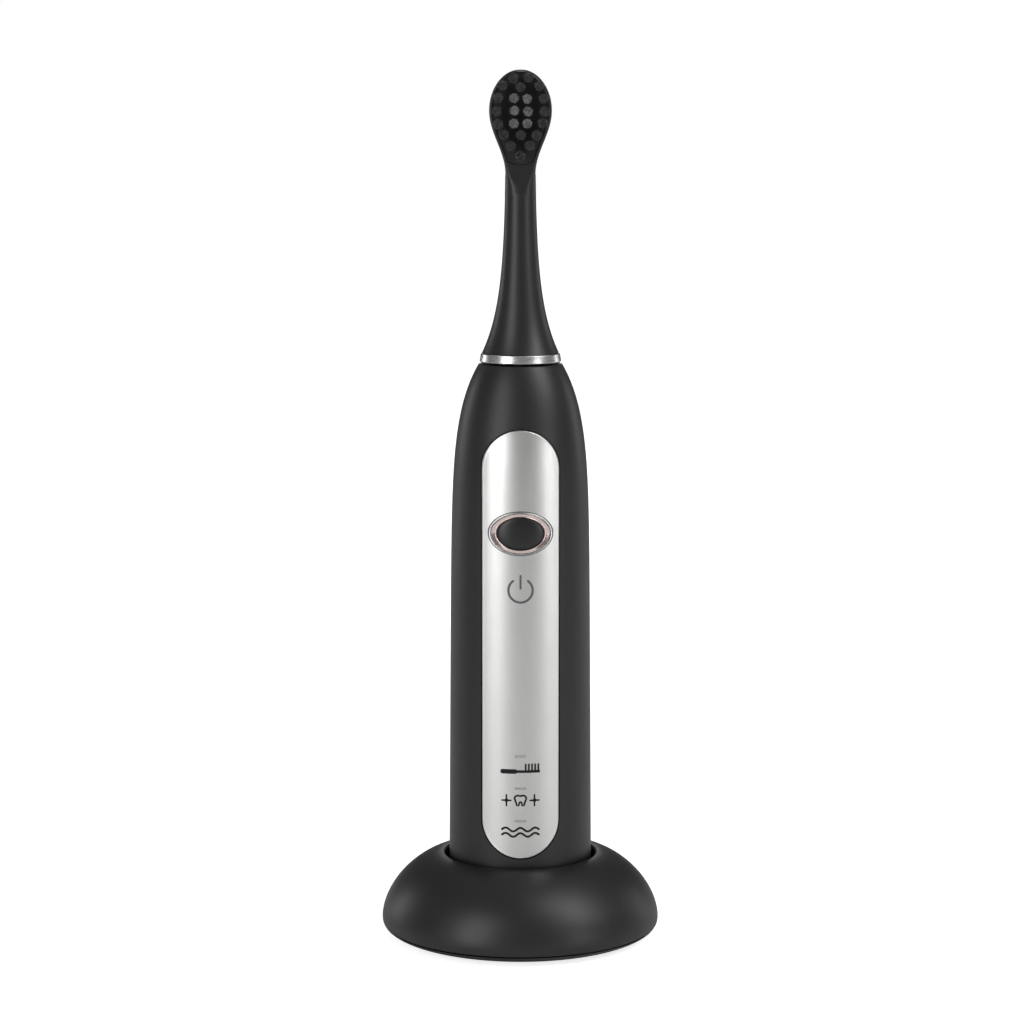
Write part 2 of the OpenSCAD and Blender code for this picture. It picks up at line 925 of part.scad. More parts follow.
base_cover();
base_skirt();
well_sleeve();
charging_post();
base_plate();
rubber_feet();
base_screws();
cord_gland();
coil_bobbin();
primary_coil();
ferrite_core();
charger_board();
charger_components();
handle_shell();
bottom_cap();
charging_socket();
cap_seal();
receiver_coil();
chassis();
battery_cell();
battery_tabs();
circuit_board();
board_chips();
board_screws();
face_plate();
power_symbol();
mode_leds();
mode_light_pipes();
button_bezel();
button_seal();
switch_body();
motor_can();
stator_core();
stator_coils();
motor_bearings();
nose_bushing();
shaft_seal();
power_button();
switch_plunger();
drive_shaft();
rotor_hub();
rotor_magnets();
head_stem();
trim_ring();
coupling_insert();
retaining_clip();
centre_tufts();
side_tufts();
end_tufts();
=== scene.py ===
"""Sonic toothbrush standing in its charging base: visible surfaces, finishes, light and camera.

Shapes are worked out in millimetres and scaled to metres as each mesh is made.
+Z is up, the control plate and the bristles face -Y, and the origin is on the table.
"""

import json
import math
import random

import bmesh
import bpy
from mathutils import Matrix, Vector


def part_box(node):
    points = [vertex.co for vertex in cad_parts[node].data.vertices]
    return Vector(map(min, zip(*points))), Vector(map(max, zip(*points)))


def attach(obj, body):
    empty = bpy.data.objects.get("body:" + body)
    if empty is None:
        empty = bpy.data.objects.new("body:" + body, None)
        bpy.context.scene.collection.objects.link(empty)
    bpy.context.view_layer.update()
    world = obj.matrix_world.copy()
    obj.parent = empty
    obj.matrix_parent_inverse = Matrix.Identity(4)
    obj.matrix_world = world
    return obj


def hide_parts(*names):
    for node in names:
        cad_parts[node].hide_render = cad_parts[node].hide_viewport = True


MM = 0.001
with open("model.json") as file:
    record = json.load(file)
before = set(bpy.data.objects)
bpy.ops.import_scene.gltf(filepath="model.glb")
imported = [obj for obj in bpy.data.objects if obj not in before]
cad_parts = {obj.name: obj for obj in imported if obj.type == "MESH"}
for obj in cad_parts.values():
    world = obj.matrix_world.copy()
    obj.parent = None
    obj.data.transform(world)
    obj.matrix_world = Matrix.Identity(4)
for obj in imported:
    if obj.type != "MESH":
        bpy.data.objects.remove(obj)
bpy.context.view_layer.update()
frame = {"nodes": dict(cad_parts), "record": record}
nodes = frame["nodes"]
record = frame["record"]
scene = bpy.context.scene
slot_colour = {entry["slot"]: entry["base_color"][:3] for entry in record["materials"]}


def low(node):
    """Lowest corner of a CAD node, in millimetres."""
    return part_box(node)[0] / MM


def high(node):
    """Highest corner of a CAD node, in millimetres."""
    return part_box(node)[1] / MM


# ---------------------------------------------------------------- camera

CAMERA_PLACE = (-0.00192, -0.6854, 0.1909)
LOOK_DOWN_DEGREES = 7.635
LENS_MM = 105.64

camera_data = bpy.data.cameras.new("camera")
camera_data.sensor_width = 36
camera_data.lens = LENS_MM
camera = bpy.data.objects.new("camera", camera_data)
camera.location = CAMERA_PLACE
camera.rotation_euler = (math.radians(90 - LOOK_DOWN_DEGREES), 0, 0)
scene.collection.objects.link(camera)
scene.camera = camera


# ---------------------------------------------------------------- driving sizes, from the frame

# Charging base
BASE_R = high("base_skirt").x
RIM_Z = high("base_cover").z
COVER_EDGE_Z = low("base_skirt").z
WIDE_Z = 4.2
FOOT_R = 22.6
BASE_WALL = 1.8
WELL_WALL = 1.6
WELL_OUT = high("well_sleeve").x
WELL_R = WELL_OUT - WELL_WALL
WELL_FLOOR_Z = low("well_sleeve").z
POST_TOP_Z = high("charging_post").z
POST_R = 4.0
LIP_R = 0.7
GLAND_Z = (low("cord_gland").z + high("cord_gland").z) / 2
GLAND_SEAT_R = 2.5
PAD_R = 3.2
PAD_CIRCLE_R, PAD_ANGLES = 20.5, (45, 135, 225, 315)
SCREW_CIRCLE_R, SCREW_ANGLES = 24.2, (30, 150, 270)

# Handle. The crown is the top that turns in, as a power of the height.
HANDLE_R = 16.6
HANDLE_TAPER = 0.0076
HANDLE_WALL = 1.8
CROWN_FROM_Z = 20
CROWN_HEIGHT = 122.8
CROWN_POWER = 10.3
CROWN_SQUARENESS = 0.865
FOOT_Z = low("bottom_cap").z
SHELL_LOW_Z = low("handle_shell").z
SHELL_TOP_Z = high("handle_shell").z
SEAL_R = 5.0
ROOF_Z = SHELL_TOP_Z - 1.7

# Control plate, button and marks
PLATE_LOW_Z = low("face_plate").z
PLATE_TOP_Z = high("face_plate").z
PLATE_HALF_W = high("face_plate").x
PLATE_T = 0.8
PLATE_PROUD = 0.1
BUTTON_Z = (low("button_bezel").z + high("button_bezel").z) / 2
BEZEL_W = high("button_bezel").x
BEZEL_H = high("button_bezel").z - BUTTON_Z
BUTTON_W = high("power_button").x
BUTTON_H = 3.65
BUTTON_BACK_Y = -12.8
SYMBOL_Z = 83.3
SYMBOL_R = 2.74
MODE_Z = (42.3, 35.0, 27.6)
MODE_HALF_W = 4.2
LIGHTS_LOW_Z, LIGHTS_TOP_Z = low("mode_light_pipes").z, high("mode_light_pipes").z
LIGHT_Z = [LIGHTS_LOW_Z + (LIGHTS_TOP_Z - LIGHTS_LOW_Z) * t for t in (0.0132, 0.5097, 0.9868)]

# Brush head and shaft
RING_LOW_Z = low("trim_ring").z
RING_TOP_Z = high("trim_ring").z
RING_R = high("trim_ring").x
HEAD_TOP_Z = high("head_stem").z
STEM_LOW_Z = RING_TOP_Z + 0.1
STEM_R = 8.8
STEM_CURL = 11.6
NECK_R = 3.42
OVAL_Z = 190.6
OVAL_HALF_W = 7.1
OUTLINE_LOW_Z = 176.3
FLAT_LOW_Z = 171.6
HEAD_FRONT_Y = -2.2
SHAFT_R = 2.0
SHAFT_TOP_Z = high("drive_shaft").z
SHAFT_FLAT_Z = 139.0
TUFT_Z = (low("centre_tufts").z + high("centre_tufts").z) / 2
TUFT_ROOT_R = 0.77
FILAMENT_R = 0.075
BRISTLE_TIP_Y = low("end_tufts").y
CENTRE_TIP_Y = low("centre_tufts").y


# ---------------------------------------------------------------- curves of the object

def handle_radius(z):
    """Radius of the handle at height z: a slow taper, then a crown that turns in."""
    crown = 1 - (max(0.0, z - CROWN_FROM_Z) / CROWN_HEIGHT) ** CROWN_POWER
    return (HANDLE_R - HANDLE_TAPER * (z - FOOT_Z)) * crown ** CROWN_SQUARENESS


def skin_y(x, z, lift):
    """Depth of the front of the handle at a place, lifted off its skin by a little."""
    return -math.sqrt(max(0.0, (handle_radius(z) + lift) ** 2 - x * x))


def dome(wide_r, top_r, top_z, steps):
    """Points of the base's dome, from its widest ring to its rim."""
    points = []
    for i in range(steps + 1):
        a = math.pi / 2 * i / steps
        points.append((top_r + (wide_r - top_r) * math.cos(a) ** 1.27 if i < steps else top_r,
                       WIDE_Z + (top_z - WIDE_Z) * math.sin(a) ** 1.14))
    return points


def under_radius(z):
    """Radius of the base below its widest ring."""
    return FOOT_R + (BASE_R - FOOT_R) * math.sqrt(max(0.0, 1 - ((WIDE_Z - z) / WIDE_Z) ** 2.8))


def stem_radius(z):
    """Radius of the brush head's stem at height z."""
    return NECK_R - 0.12 + (STEM_R - NECK_R + 0.12) * math.exp(-(z - STEM_LOW_Z) / STEM_CURL)


def oval_half(z):
    """Half width of the brush head's oval at height z."""
    if z < OVAL_Z:
        turn = math.pi * max(0.0, z - OUTLINE_LOW_Z) / (OVAL_Z - OUTLINE_LOW_Z)
        return NECK_R + (OVAL_HALF_W - NECK_R) * (1 - math.cos(turn)) / 2
    return OVAL_HALF_W * math.sqrt(max(0.0, 1 - ((z - OVAL_Z) / (HEAD_TOP_Z - OVAL_Z)) ** 2))


def smoothstep(value):
    """Goes from 0 to 1 as the value does, slow at both ends."""
    value = min(1.0, max(0.0, value))
    return value * value * (3 - 2 * value)


def mix(a, b, t):
    return a + (b - a) * t


def unit_circle(count):
    """Points of a circle of radius 1."""
    angles = [2 * math.pi * k / count for k in range(count)]
    return [(math.cos(a), math.sin(a)) for a in angles]


def around(r, angles):
    """Places on a circle about the upright axis, at angles in degrees."""
    return [(r * math.cos(math.radians(a)), r * math.sin(math.radians(a))) for a in angles]


def crowded(first, last, steps, power=2.0):
    """Heights from first to last that crowd together towards the last."""
    return [last - (last - first) * (1 - i / steps) ** power for i in range(steps + 1)]


def fillet(corners, steps=5, closed=True):
    """Rounds a polyline. Each corner is (r, z) or (r, z, radius of the rounding)."""
    points = []
    count = len(corners)
    for i, corner in enumerate(corners):
        here = Vector(corner[:2])
        radius = corner[2] if len(corner) > 2 else 0
        if radius == 0 or (not closed and i in (0, count - 1)):
            points.append(tuple(here))
            continue
        before = Vector(corners[i - 1][:2]) - here
        after = Vector(corners[(i + 1) % count][:2]) - here
        half = before.angle(after) / 2
        reach = min(radius / math.tan(half), before.length * 0.49, after.length * 0.49)
        start = here + before.normalized() * reach
        end = here + after.normalized() * reach
        for k in range(steps + 1):
            t = k / steps
            points.append(tuple(start * (1 - t) ** 2 + here * (2 * t * (1 - t)) + end * t * t))
    return points


# ---------------------------------------------------------------- mesh building

def new_object(name, mesh_build, sharp_degrees=32):
    """Makes an object from a bmesh in millimetres, smooth but for its sharp edges."""
    bmesh.ops.remove_doubles(mesh_build, verts=mesh_build.verts, dist=1e-5)
    bmesh.ops.recalc_face_normals(mesh_build, faces=mesh_build.faces)
    bmesh.ops.scale(mesh_build, vec=(MM, MM, MM), verts=mesh_build.verts)
    data = bpy.data.meshes.new(name)
    mesh_build.to_mesh(data)
    mesh_build.free()
    data.shade_smooth()
    data.set_sharp_from_angle(angle=math.radians(sharp_degrees))
    made = bpy.data.objects.new(name, data)
    scene.collection.objects.link(made)
    return made


def add_rings(build, rings, close_rings=True, close_ends=False):
    """Joins rows of points with quads. A row that is a single point becomes a pole."""
    rows = []
    for ring in rings:
        rows.append([build.verts.new(p) for p in ring])
    pairs = list(zip(rows, rows[1:]))
    if close_ends:
        pairs.append((rows[-1], rows[0]))
    for first, second in pairs:
        size = max(len(first), len(second))
        if size == 1:
            continue
        for k in range(size if close_rings else size - 1):
            n = (k + 1) % size
            if len(first) == 1:
                build.faces.new((first[0], second[n], second[k]))
            elif len(second) == 1:
                build.faces.new((first[k], first[n], second[0]))
            else:
                build.faces.new((first[k], first[n], second[n], second[k]))
    return rows


def add_lathe(build, profile, segments=128, closed=True, centre=(0, 0)):
    """Turns a profile of (radius, height) about the upright axis."""
    rings = []
    for r, z in profile:
        if r < 1e-4:
            rings.append([(*centre, z)])
        else:
            rings.append([(centre[0] + r * c, centre[1] + r * s, z) for c, s in unit_circle(segments)])
    add_rings(build, rings, close_ends=closed)


def lathe(name, profile, segments=128, closed=True, sharp_degrees=32):
    """Makes an object by turning a profile about the upright axis."""
    build = bmesh.new()
    add_lathe(build, profile, segments, closed)
    return new_object(name, build, sharp_degrees)


def ellipse_ring(half_w, half_h, depth, steps=96):
    """A ring around the middle of the button. depth is a function of x and z."""
    ring = []
    for c, s in unit_circle(steps):
        x, z = half_w * c, BUTTON_Z + half_h * s
        ring.append((x, depth(x, z), z))
    return ring


def stadium_ring(inset, lift, grow=0.0, arc_steps=40, side_steps=64):
    """One ring of the control plate's outline, inset from its edge and laid on the skin."""
    full_r = PLATE_HALF_W + grow
    r = max(0.0, full_r - inset)
    upper = PLATE_TOP_Z - PLATE_HALF_W
    lower = PLATE_LOW_Z + PLATE_HALF_W
    half_circle = unit_circle(2 * arc_steps)[:arc_steps]
    flat = [(r * c, upper + r * s) for c, s in half_circle]
    flat += [(-r, mix(upper, lower, k / side_steps)) for k in range(side_steps)]
    flat += [(-r * c, lower - r * s) for c, s in half_circle]
    flat += [(r, mix(lower, upper, k / side_steps)) for k in range(side_steps)]
    return [(x, skin_y(x, z, lift), z) for x, z in flat]


def stadium_solid(name, front, back, grow=0.0):
    """A closed curved plate. front is a list of (inset, lift) from the edge inward."""
    full_r = PLATE_HALF_W + grow
    inner = [front[-1][0] + (full_r - front[-1][0]) * t for t in (0.12, 0.3, 0.5, 0.7, 0.88, 1.0)]
    rings = [stadium_ring(inset, lift, grow) for inset, lift in front]
    rings += [stadium_ring(inset, front[-1][1], grow) for inset in inner]
    behind = [stadium_ring(full_r * t, back, grow) for t in (0, 0.3, 0.6, 0.85, 1.0)]
    build = bmesh.new()
    add_rings(build, list(reversed(behind)) + rings)
    return new_object(name, build)


def cut(target, cutters, sharp_degrees=32):
    """Subtracts the cutters, one after another, and removes them."""
    for cutter in cutters:
        change = target.modifiers.new("cut", "BOOLEAN")
        change.operation = "DIFFERENCE"
        change.solver = "EXACT"
        change.object = cutter
        graph = bpy.context.evaluated_depsgraph_get()
        result = bpy.data.meshes.new_from_object(target.evaluated_get(graph))
        target.modifiers.clear()
        old = target.data
        target.data = result
        bpy.data.meshes.remove(old)
        bpy.data.objects.remove(cutter)
    target.data.shade_smooth()
    target.data.set_sharp_from_angle(angle=math.radians(sharp_degrees))
    return target


def ellipse_cutter(half_w, half_h, front_y=-22.0, back_y=-9.0):
    """An oval bar through the front of the handle, around the middle of the button."""
    build = bmesh.new()
    rings = [ellipse_ring(half_w, half_h, lambda x, z, y=y: y, 128) for y in (front_y, back_y)]
    rows = add_rings(build, rings)
    build.faces.new(rows[0])
    build.faces.new(rows[1])
    return new_object("cutter", build)


def block_cutter(corner_low, corner_high):
    """A square-edged bar between two corners."""
    build = bmesh.new()
    bmesh.ops.create_cube(build, size=1)
    size = Vector(corner_high) - Vector(corner_low)
    middle = (Vector(corner_high) + Vector(corner_low)) / 2
    bmesh.ops.scale(build, vec=size, verts=build.verts)
    bmesh.ops.translate(build, vec=middle, verts=build.verts)
    return new_object("cutter", build)


def rod_cutter(place_xy, r, z_low, z_high, segments=48):
    """An upright round bar."""
    build = bmesh.new()
    profile = [(0, z_low), (r, z_low), (r, z_high), (0, z_high)]
    add_lathe(build, profile, segments, closed=False, centre=place_xy)
    return new_object("cutter", build)


def along_y(made, height):
    """Turns a lathed piece so that its axis runs along +Y at that height."""
    for vertex in made.data.vertices:
        x, y, z = vertex.co
        vertex.co = (x, z, height * MM - y)
    return made


# ---------------------------------------------------------------- finishes

def shader(name):
    """A new material, with its nodes, links and main shader."""
    material = bpy.data.materials.new(name)
    material.use_nodes = True
    tree = material.node_tree
    return material, tree, tree.nodes["Principled BSDF"]


def add_noise(tree, coordinates, scale, detail=3.0, roughness=0.55):
    """Cloudy noise from 0 to 1. scale is in cycles for each metre."""
    node = tree.nodes.new("ShaderNodeTexNoise")
    node.inputs["Scale"].default_value = scale
    node.inputs["Detail"].default_value = detail
    node.inputs["Roughness"].default_value = roughness
    tree.links.new(coordinates, node.inputs["Vector"])
    return node.outputs["Fac"]


def add_range(tree, value, from_low, from_high, to_low, to_high):
    """Maps a value from one range to another and stops at its ends."""
    node = tree.nodes.new("ShaderNodeMapRange")
    ends = {"From Min": from_low, "From Max": from_high, "To Min": to_low, "To Max": to_high}
    for socket, number in ends.items():
        node.inputs[socket].default_value = number
    tree.links.new(value, node.inputs["Value"])
    return node.outputs["Result"]


def add_bump(tree, height, depth_mm, strength=1.0):
    """Small relief from a height between 0 and 1."""
    node = tree.nodes.new("ShaderNodeBump")
    node.inputs["Strength"].default_value = strength
    node.inputs["Distance"].default_value = depth_mm * MM
    tree.links.new(height, node.inputs["Height"])
    return node.outputs["Normal"]


def add_colours(tree, factor, first, second):
    """Blends two colours."""
    node = tree.nodes.new("ShaderNodeMix")
    node.data_type = "RGBA"
    node.inputs[6].default_value = (*first, 1)
    node.inputs[7].default_value = (*second, 1)
    tree.links.new(factor, node.inputs[0])
    return node.outputs[2]


def object_coordinates(tree, stretch=(1, 1, 1)):
    """Places on the object, scaled along each axis."""
    source = tree.nodes.new("ShaderNodeTexCoord")
    mapping = tree.nodes.new("ShaderNodeMapping")
    mapping.inputs["Scale"].default_value = stretch
    tree.links.new(source.outputs["Object"], mapping.inputs["Vector"])
    return mapping.outputs["Vector"]


def tints(base, variation):
    """A darker and a paler tint of a colour."""
    return [c * (1 - variation) for c in base], [min(1, c * (1 + variation)) for c in base]


def moulded(name, slot, roughness=0.45, spread=0.06, grain=4200, grain_mm=0.006, variation=0.12,
            wear=0.1, specular=0.5):
    """Moulded plastic or rubber: fine grain, a slow change of gloss, and edges rubbed smoother."""
    material, tree, main = shader(name)
    where = object_coordinates(tree)
    slow = add_noise(tree, where, 55, 4)
    fine = add_noise(tree, where, grain, 2)
    shade = add_colours(tree, slow, *tints(slot_colour[slot], variation))
    tree.links.new(shade, main.inputs["Base Color"])
    gloss = add_range(tree, slow, 0.3, 0.7, roughness - spread, roughness + spread)
    if wear:
        geometry = tree.nodes.new("ShaderNodeNewGeometry")
        edge = add_range(tree, geometry.outputs["Pointiness"], 0.52, 0.6, 0.0, wear)
        worn = tree.nodes.new("ShaderNodeMath")
        worn.operation = "SUBTRACT"
        tree.links.new(gloss, worn.inputs[0])
        tree.links.new(edge, worn.inputs[1])
        gloss = worn.outputs[0]
    tree.links.new(gloss, main.inputs["Roughness"])
    tree.links.new(add_bump(tree, fine, grain_mm, 0.6), main.inputs["Normal"])
    main.inputs["Specular IOR Level"].default_value = specular
    return material


def metal(name, slot, roughness=0.25, spread=0.06, streak=(1, 1, 1), streak_scale=900,
          streak_mm=0.002, variation=0.05, colour=None):
    """Metal with drawn or turned streaks. streak stretches the streaks along one direction."""
    material, tree, main = shader(name)
    lines = add_noise(tree, object_coordinates(tree, streak), streak_scale, 3, 0.6)
    cloud = add_noise(tree, object_coordinates(tree), 90, 3)
    shade = add_colours(tree, cloud, *tints(colour or slot_colour[slot], variation))
    tree.links.new(shade, main.inputs["Base Color"])
    gloss = add_range(tree, lines, 0.3, 0.7, roughness - spread, roughness + spread)
    tree.links.new(gloss, main.inputs["Roughness"])
    tree.links.new(add_bump(tree, lines, streak_mm, 0.5), main.inputs["Normal"])
    main.inputs["Metallic"].default_value = 1
    return material


def wound(name, slot, turns_scale=260):
    """Enamelled wire in close turns about the upright axis."""
    material, tree, main = shader(name)
    base = slot_colour[slot]
    where = object_coordinates(tree)
    wave = tree.nodes.new("ShaderNodeTexWave")
    wave.bands_direction = "Z"
    wave.inputs["Scale"].default_value = turns_scale
    wave.inputs["Distortion"].default_value = 0.4
    tree.links.new(where, wave.inputs["Vector"])
    # Darker where the wave is low, between the turns: painted shade in the grooves.
    shade = add_colours(tree, wave.outputs["Fac"], [c * 0.45 for c in base], base)
    tree.links.new(shade, main.inputs["Base Color"])
    tree.links.new(add_bump(tree, wave.outputs["Fac"], 0.08), main.inputs["Normal"])
    gloss = add_range(tree, add_noise(tree, where, 400), 0.3, 0.7, 0.22, 0.36)
    tree.links.new(gloss, main.inputs["Roughness"])
    main.inputs["Metallic"].default_value = 1
    main.inputs["Coat Weight"].default_value = 0.4
    return material


def lens(name, slot):
    """Translucent light pipe, unlit."""
    material, tree, main = shader(name)
    cloud = add_noise(tree, object_coordinates(tree), 700)
    base = slot_colour[slot]
    shade = add_colours(tree, cloud, [c * 0.85 for c in base], base)
    tree.links.new(shade, main.inputs["Base Color"])
    tree.links.new(add_range(tree, cloud, 0.3, 0.7, 0.2, 0.32), main.inputs["Roughness"])
    tree.links.new(add_bump(tree, cloud, 0.01, 0.4), main.inputs["Normal"])
    main.inputs["Subsurface Weight"].default_value = 0.2
    main.inputs["Subsurface Scale"].default_value = 0.001
    return material


def nylon(name, slot, tip_y, tip_highlight_gain):
    """Bristle filaments: each a little different, with a painted highlight that makes the rounded tips
    paler.
    """
    material, tree, main = shader(name)
    base = slot_colour[slot]
    each = add_noise(tree, object_coordinates(tree, (1, 0.02, 1)), 3600, 2)
    tone = add_range(tree, each, 0.42, 0.58, 0.0, 1.0)
    dark = add_colours(tree, tone, [c * 0.35 for c in base], base)
    # Painted highlight: near the tips the colour is lifted many times over, as if the rounded ends caught
    # the light.
    pale = add_colours(tree, tone, [c * tip_highlight_gain * 0.2 for c in base], [c * tip_highlight_gain for c in base])
    parts = tree.nodes.new("ShaderNodeSeparateXYZ")
    tree.links.new(object_coordinates(tree), parts.inputs[0])
    # Mask of the painted tip highlight, by depth along -Y towards the tips.
    tip_highlight_mask = add_range(tree, parts.outputs["Y"], (tip_y + 0.9) * MM, (tip_y + 0.25) * MM, 0.0, 1.0)
    blend = tree.nodes.new("ShaderNodeMix")
    blend.data_type = "RGBA"
    tree.links.new(tip_highlight_mask, blend.inputs[0])
    tree.links.new(dark, blend.inputs[6])
    tree.links.new(pale, blend.inputs[7])
    tree.links.new(blend.outputs[2], main.inputs["Base Color"])
    tree.links.new(add_range(tree, each, 0.3, 0.7, 0.28, 0.45), main.inputs["Roughness"])
    tree.links.new(add_bump(tree, each, 0.004, 0.5), main.inputs["Normal"])
    return material


DRAWN_UPRIGHT = (1, 1, 0.02)
TURNED = (0.05, 0.05, 1)

finishes = {
    "soft_black": moulded("soft_touch_black", "soft_black", roughness=0.42, spread=0.03),
    "base_black": moulded("base_satin_black", "base_black", roughness=0.42, spread=0.03),
    "head_black": moulded("head_satin_black", "head_black", roughness=0.4, spread=0.03),
    "rubber_black": moulded("black_rubber", "rubber_black", roughness=0.62, grain=2600, grain_mm=0.012),
    "brushed_silver": metal("brushed_silver", "brushed_silver", roughness=0.39, spread=0.05,
                            streak=DRAWN_UPRIGHT, streak_scale=5200, streak_mm=0.0012,
                            colour=(0.7, 0.7, 0.69)),
    "rose_chrome": metal("rose_chrome", "rose_chrome", roughness=0.24, spread=0.03,
                         streak_scale=2000, streak_mm=0.0006, colour=(0.76, 0.64, 0.61)),
    "ring_chrome": metal("ring_chrome", "ring_chrome", roughness=0.28, spread=0.05, streak=TURNED,
                         streak_scale=6000, streak_mm=0.0005),
    "button_black": moulded("button_rubber", "button_black", roughness=0.34, spread=0.04,
                            grain_mm=0.003),
    "symbol_grey": moulded("printed_grey", "symbol_grey", roughness=0.5, grain_mm=0.002, wear=0),
    "light_lens": lens("light_pipe", "light_lens"),
    "led_white": lens("led_body", "led_white"),
    "screw_steel": metal("zinc_steel", "screw_steel", roughness=0.3, streak_scale=1500),
    "copper_wire": wound("copper_wire", "copper_wire"),
    "ferrite": moulded("ferrite", "ferrite", roughness=0.55, grain=3000, grain_mm=0.02),
    "board_green": moulded("solder_mask", "board_green", roughness=0.3, variation=0.3, grain=900,
                           grain_mm=0.01),
    "chip_black": moulded("moulded_epoxy", "chip_black", roughness=0.4, grain=5000),
    "carrier_white": moulded("natural_nylon", "carrier_white", roughness=0.42, grain=1500,
                             variation=0.05),
    "cell_wrap": moulded("cell_wrap", "cell_wrap", roughness=0.25, grain=500, grain_mm=0.01,
                         variation=0.08),
    "motor_steel": metal("turned_steel", "motor_steel", roughness=0.24, streak=TURNED,
                         streak_scale=4000),
    "magnet": metal("nickel_plate", "magnet", roughness=0.2, streak_scale=1800),
    "bronze": metal("sintered_bronze", "bronze", roughness=0.42, streak_scale=3000, streak_mm=0.01),
    "seal_red": moulded("silicone_red", "seal_red", roughness=0.5, grain=2400),
    # The last number is the gain of the painted highlight at the bristle tips.
    "bristle_grey": nylon("nylon_grey", "bristle_grey", CENTRE_TIP_Y, 2.6),
    "bristle_black": nylon("nylon_black", "bristle_black", BRISTLE_TIP_Y, 11.0),
}
mark_black = moulded("printed_black", "rubber_black", roughness=0.6, grain_mm=0.002, wear=0,
                     specular=0.2)


def place(made, body, slot, *stands_for, finish=None):
    """Gives a piece its finish and its body, and hides the CAD nodes that it stands for."""
    made.data.materials.clear()
    made.data.materials.append(finish or finishes[slot])
    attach(made, body)
    if stands_for:
        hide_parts(*stands_for)
    return made


# ---------------------------------------------------------------- charging base

def make_base_cover():
    """Domed cover with the well that the handle stands in and a hole for the cord bush."""
    edge = [(under_radius(z), z) for z in (COVER_EDGE_Z + 0.12, 2.9, 3.2, 3.5, 3.8, 4.0)]
    outside = dome(BASE_R, WELL_R + LIP_R, RIM_Z, 72)
    lip = [(WELL_R + LIP_R - LIP_R * math.sin(a), RIM_Z - LIP_R + LIP_R * math.cos(a))
           for a in (math.pi / 2 * k / 10 for k in range(1, 11))]
    inside = dome(BASE_R - BASE_WALL, WELL_OUT, RIM_Z - BASE_WALL, 32)
    profile = [(BASE_R - BASE_WALL, COVER_EDGE_Z), (edge[0][0] - 0.2, COVER_EDGE_Z)]
    profile += edge + outside + lip
    profile += [(WELL_R, WELL_FLOOR_Z), (WELL_OUT, WELL_FLOOR_Z)] + list(reversed(inside))
    cover = lathe("base_cover_skin", profile, 192)
    hole = along_y(rod_cutter((0, 0), GLAND_SEAT_R, 24, 40), GLAND_Z)
    cut(cover, [hole])
    return place(cover, "charger", "base_black", "base_cover", "base_skirt", "well_sleeve")


def make_charging_post():
    """Floor of the well and the post in its middle."""
    under_z = WELL_FLOOR_Z - WELL_WALL
    inner_r, inner_z = POST_R - 1.2, POST_TOP_Z - 1.2
    profile = fillet([
        (inner_r, under_z), (WELL_OUT, under_z), (WELL_OUT, WELL_FLOOR_Z),
        (POST_R, WELL_FLOOR_Z, 0.8), (POST_R, POST_TOP_Z, 0.9), (0, POST_TOP_Z), (0, inner_z),
        (inner_r, inner_z)], 8)
    return place(lathe("charging_post_skin", profile), "charger", "base_black", "charging_post")


def make_base_plate():
    """Lower plate, with its screw holes and the pockets for the feet."""
    low_z, top_z, ridge_z = low("base_plate").z, 2.3, 3.8
    ridge_in, ridge_out = 28.7, 29.9
    edge = [(under_radius(z), z) for z in (mix(low_z, top_z, k / 14) for k in range(15))]
    profile = [(0, low_z)] + edge + fillet([
        (ridge_out, top_z), (ridge_out, ridge_z, 0.25), (ridge_in, ridge_z, 0.25),
        (ridge_in, top_z), (0, top_z)], 4, closed=False)
    plate = lathe("base_plate_skin", profile, 192)
    cutters = []
    for screw in around(SCREW_CIRCLE_R, SCREW_ANGLES):
        cutters.append(rod_cutter(screw, 2.2, -1, 1.6))
        cutters.append(rod_cutter(screw, 1.2, 1.5, 5))
    cutters += [rod_cutter(pad, PAD_R + 0.05, -1, 0.9) for pad in around(PAD_CIRCLE_R, PAD_ANGLES)]
    return place(cut(plate, cutters), "charger", "base_black", "base_plate")


def make_feet():
    """Four round pads with a shallow ring in each."""
    build = bmesh.new()
    pad = fillet([
        (0, 0.15), (1.3, 0.15, 0.1), (1.5, 0, 0.08), (PAD_R, 0, 0.25), (PAD_R, 0.9), (0, 0.9)],
        closed=False)
    for centre in around(PAD_CIRCLE_R, PAD_ANGLES):
        add_lathe(build, pad, 48, closed=False, centre=centre)
    return place(new_object("rubber_feet_skin", build), "charger", "rubber_black", "rubber_feet")


def make_cord_gland():
    """Rubber bush in the back of the base, open for the cord."""
    inner_y, outer_y = low("cord_gland").y, high("cord_gland").y
    bore_r, neck_r, flange_r, nose_r = 1.8, 2.45, 3.4, 2.62
    flange_y = inner_y + 1.6
    profile = fillet([
        (bore_r, inner_y, 0.15), (flange_r, inner_y, 0.3), (flange_r, flange_y, 0.3),
        (neck_r, flange_y), (neck_r, outer_y - 0.9), (nose_r, outer_y - 0.8, 0.1),
        (nose_r, outer_y, 0.3), (bore_r, outer_y, 0.3)])
    bush = along_y(lathe("cord_gland_skin", profile, 64), GLAND_Z)
    return place(bush, "charger", "rubber_black", "cord_gland")


make_base_cover()
make_charging_post()
make_base_plate()
make_feet()
make_cord_gland()


# ---------------------------------------------------------------- handle

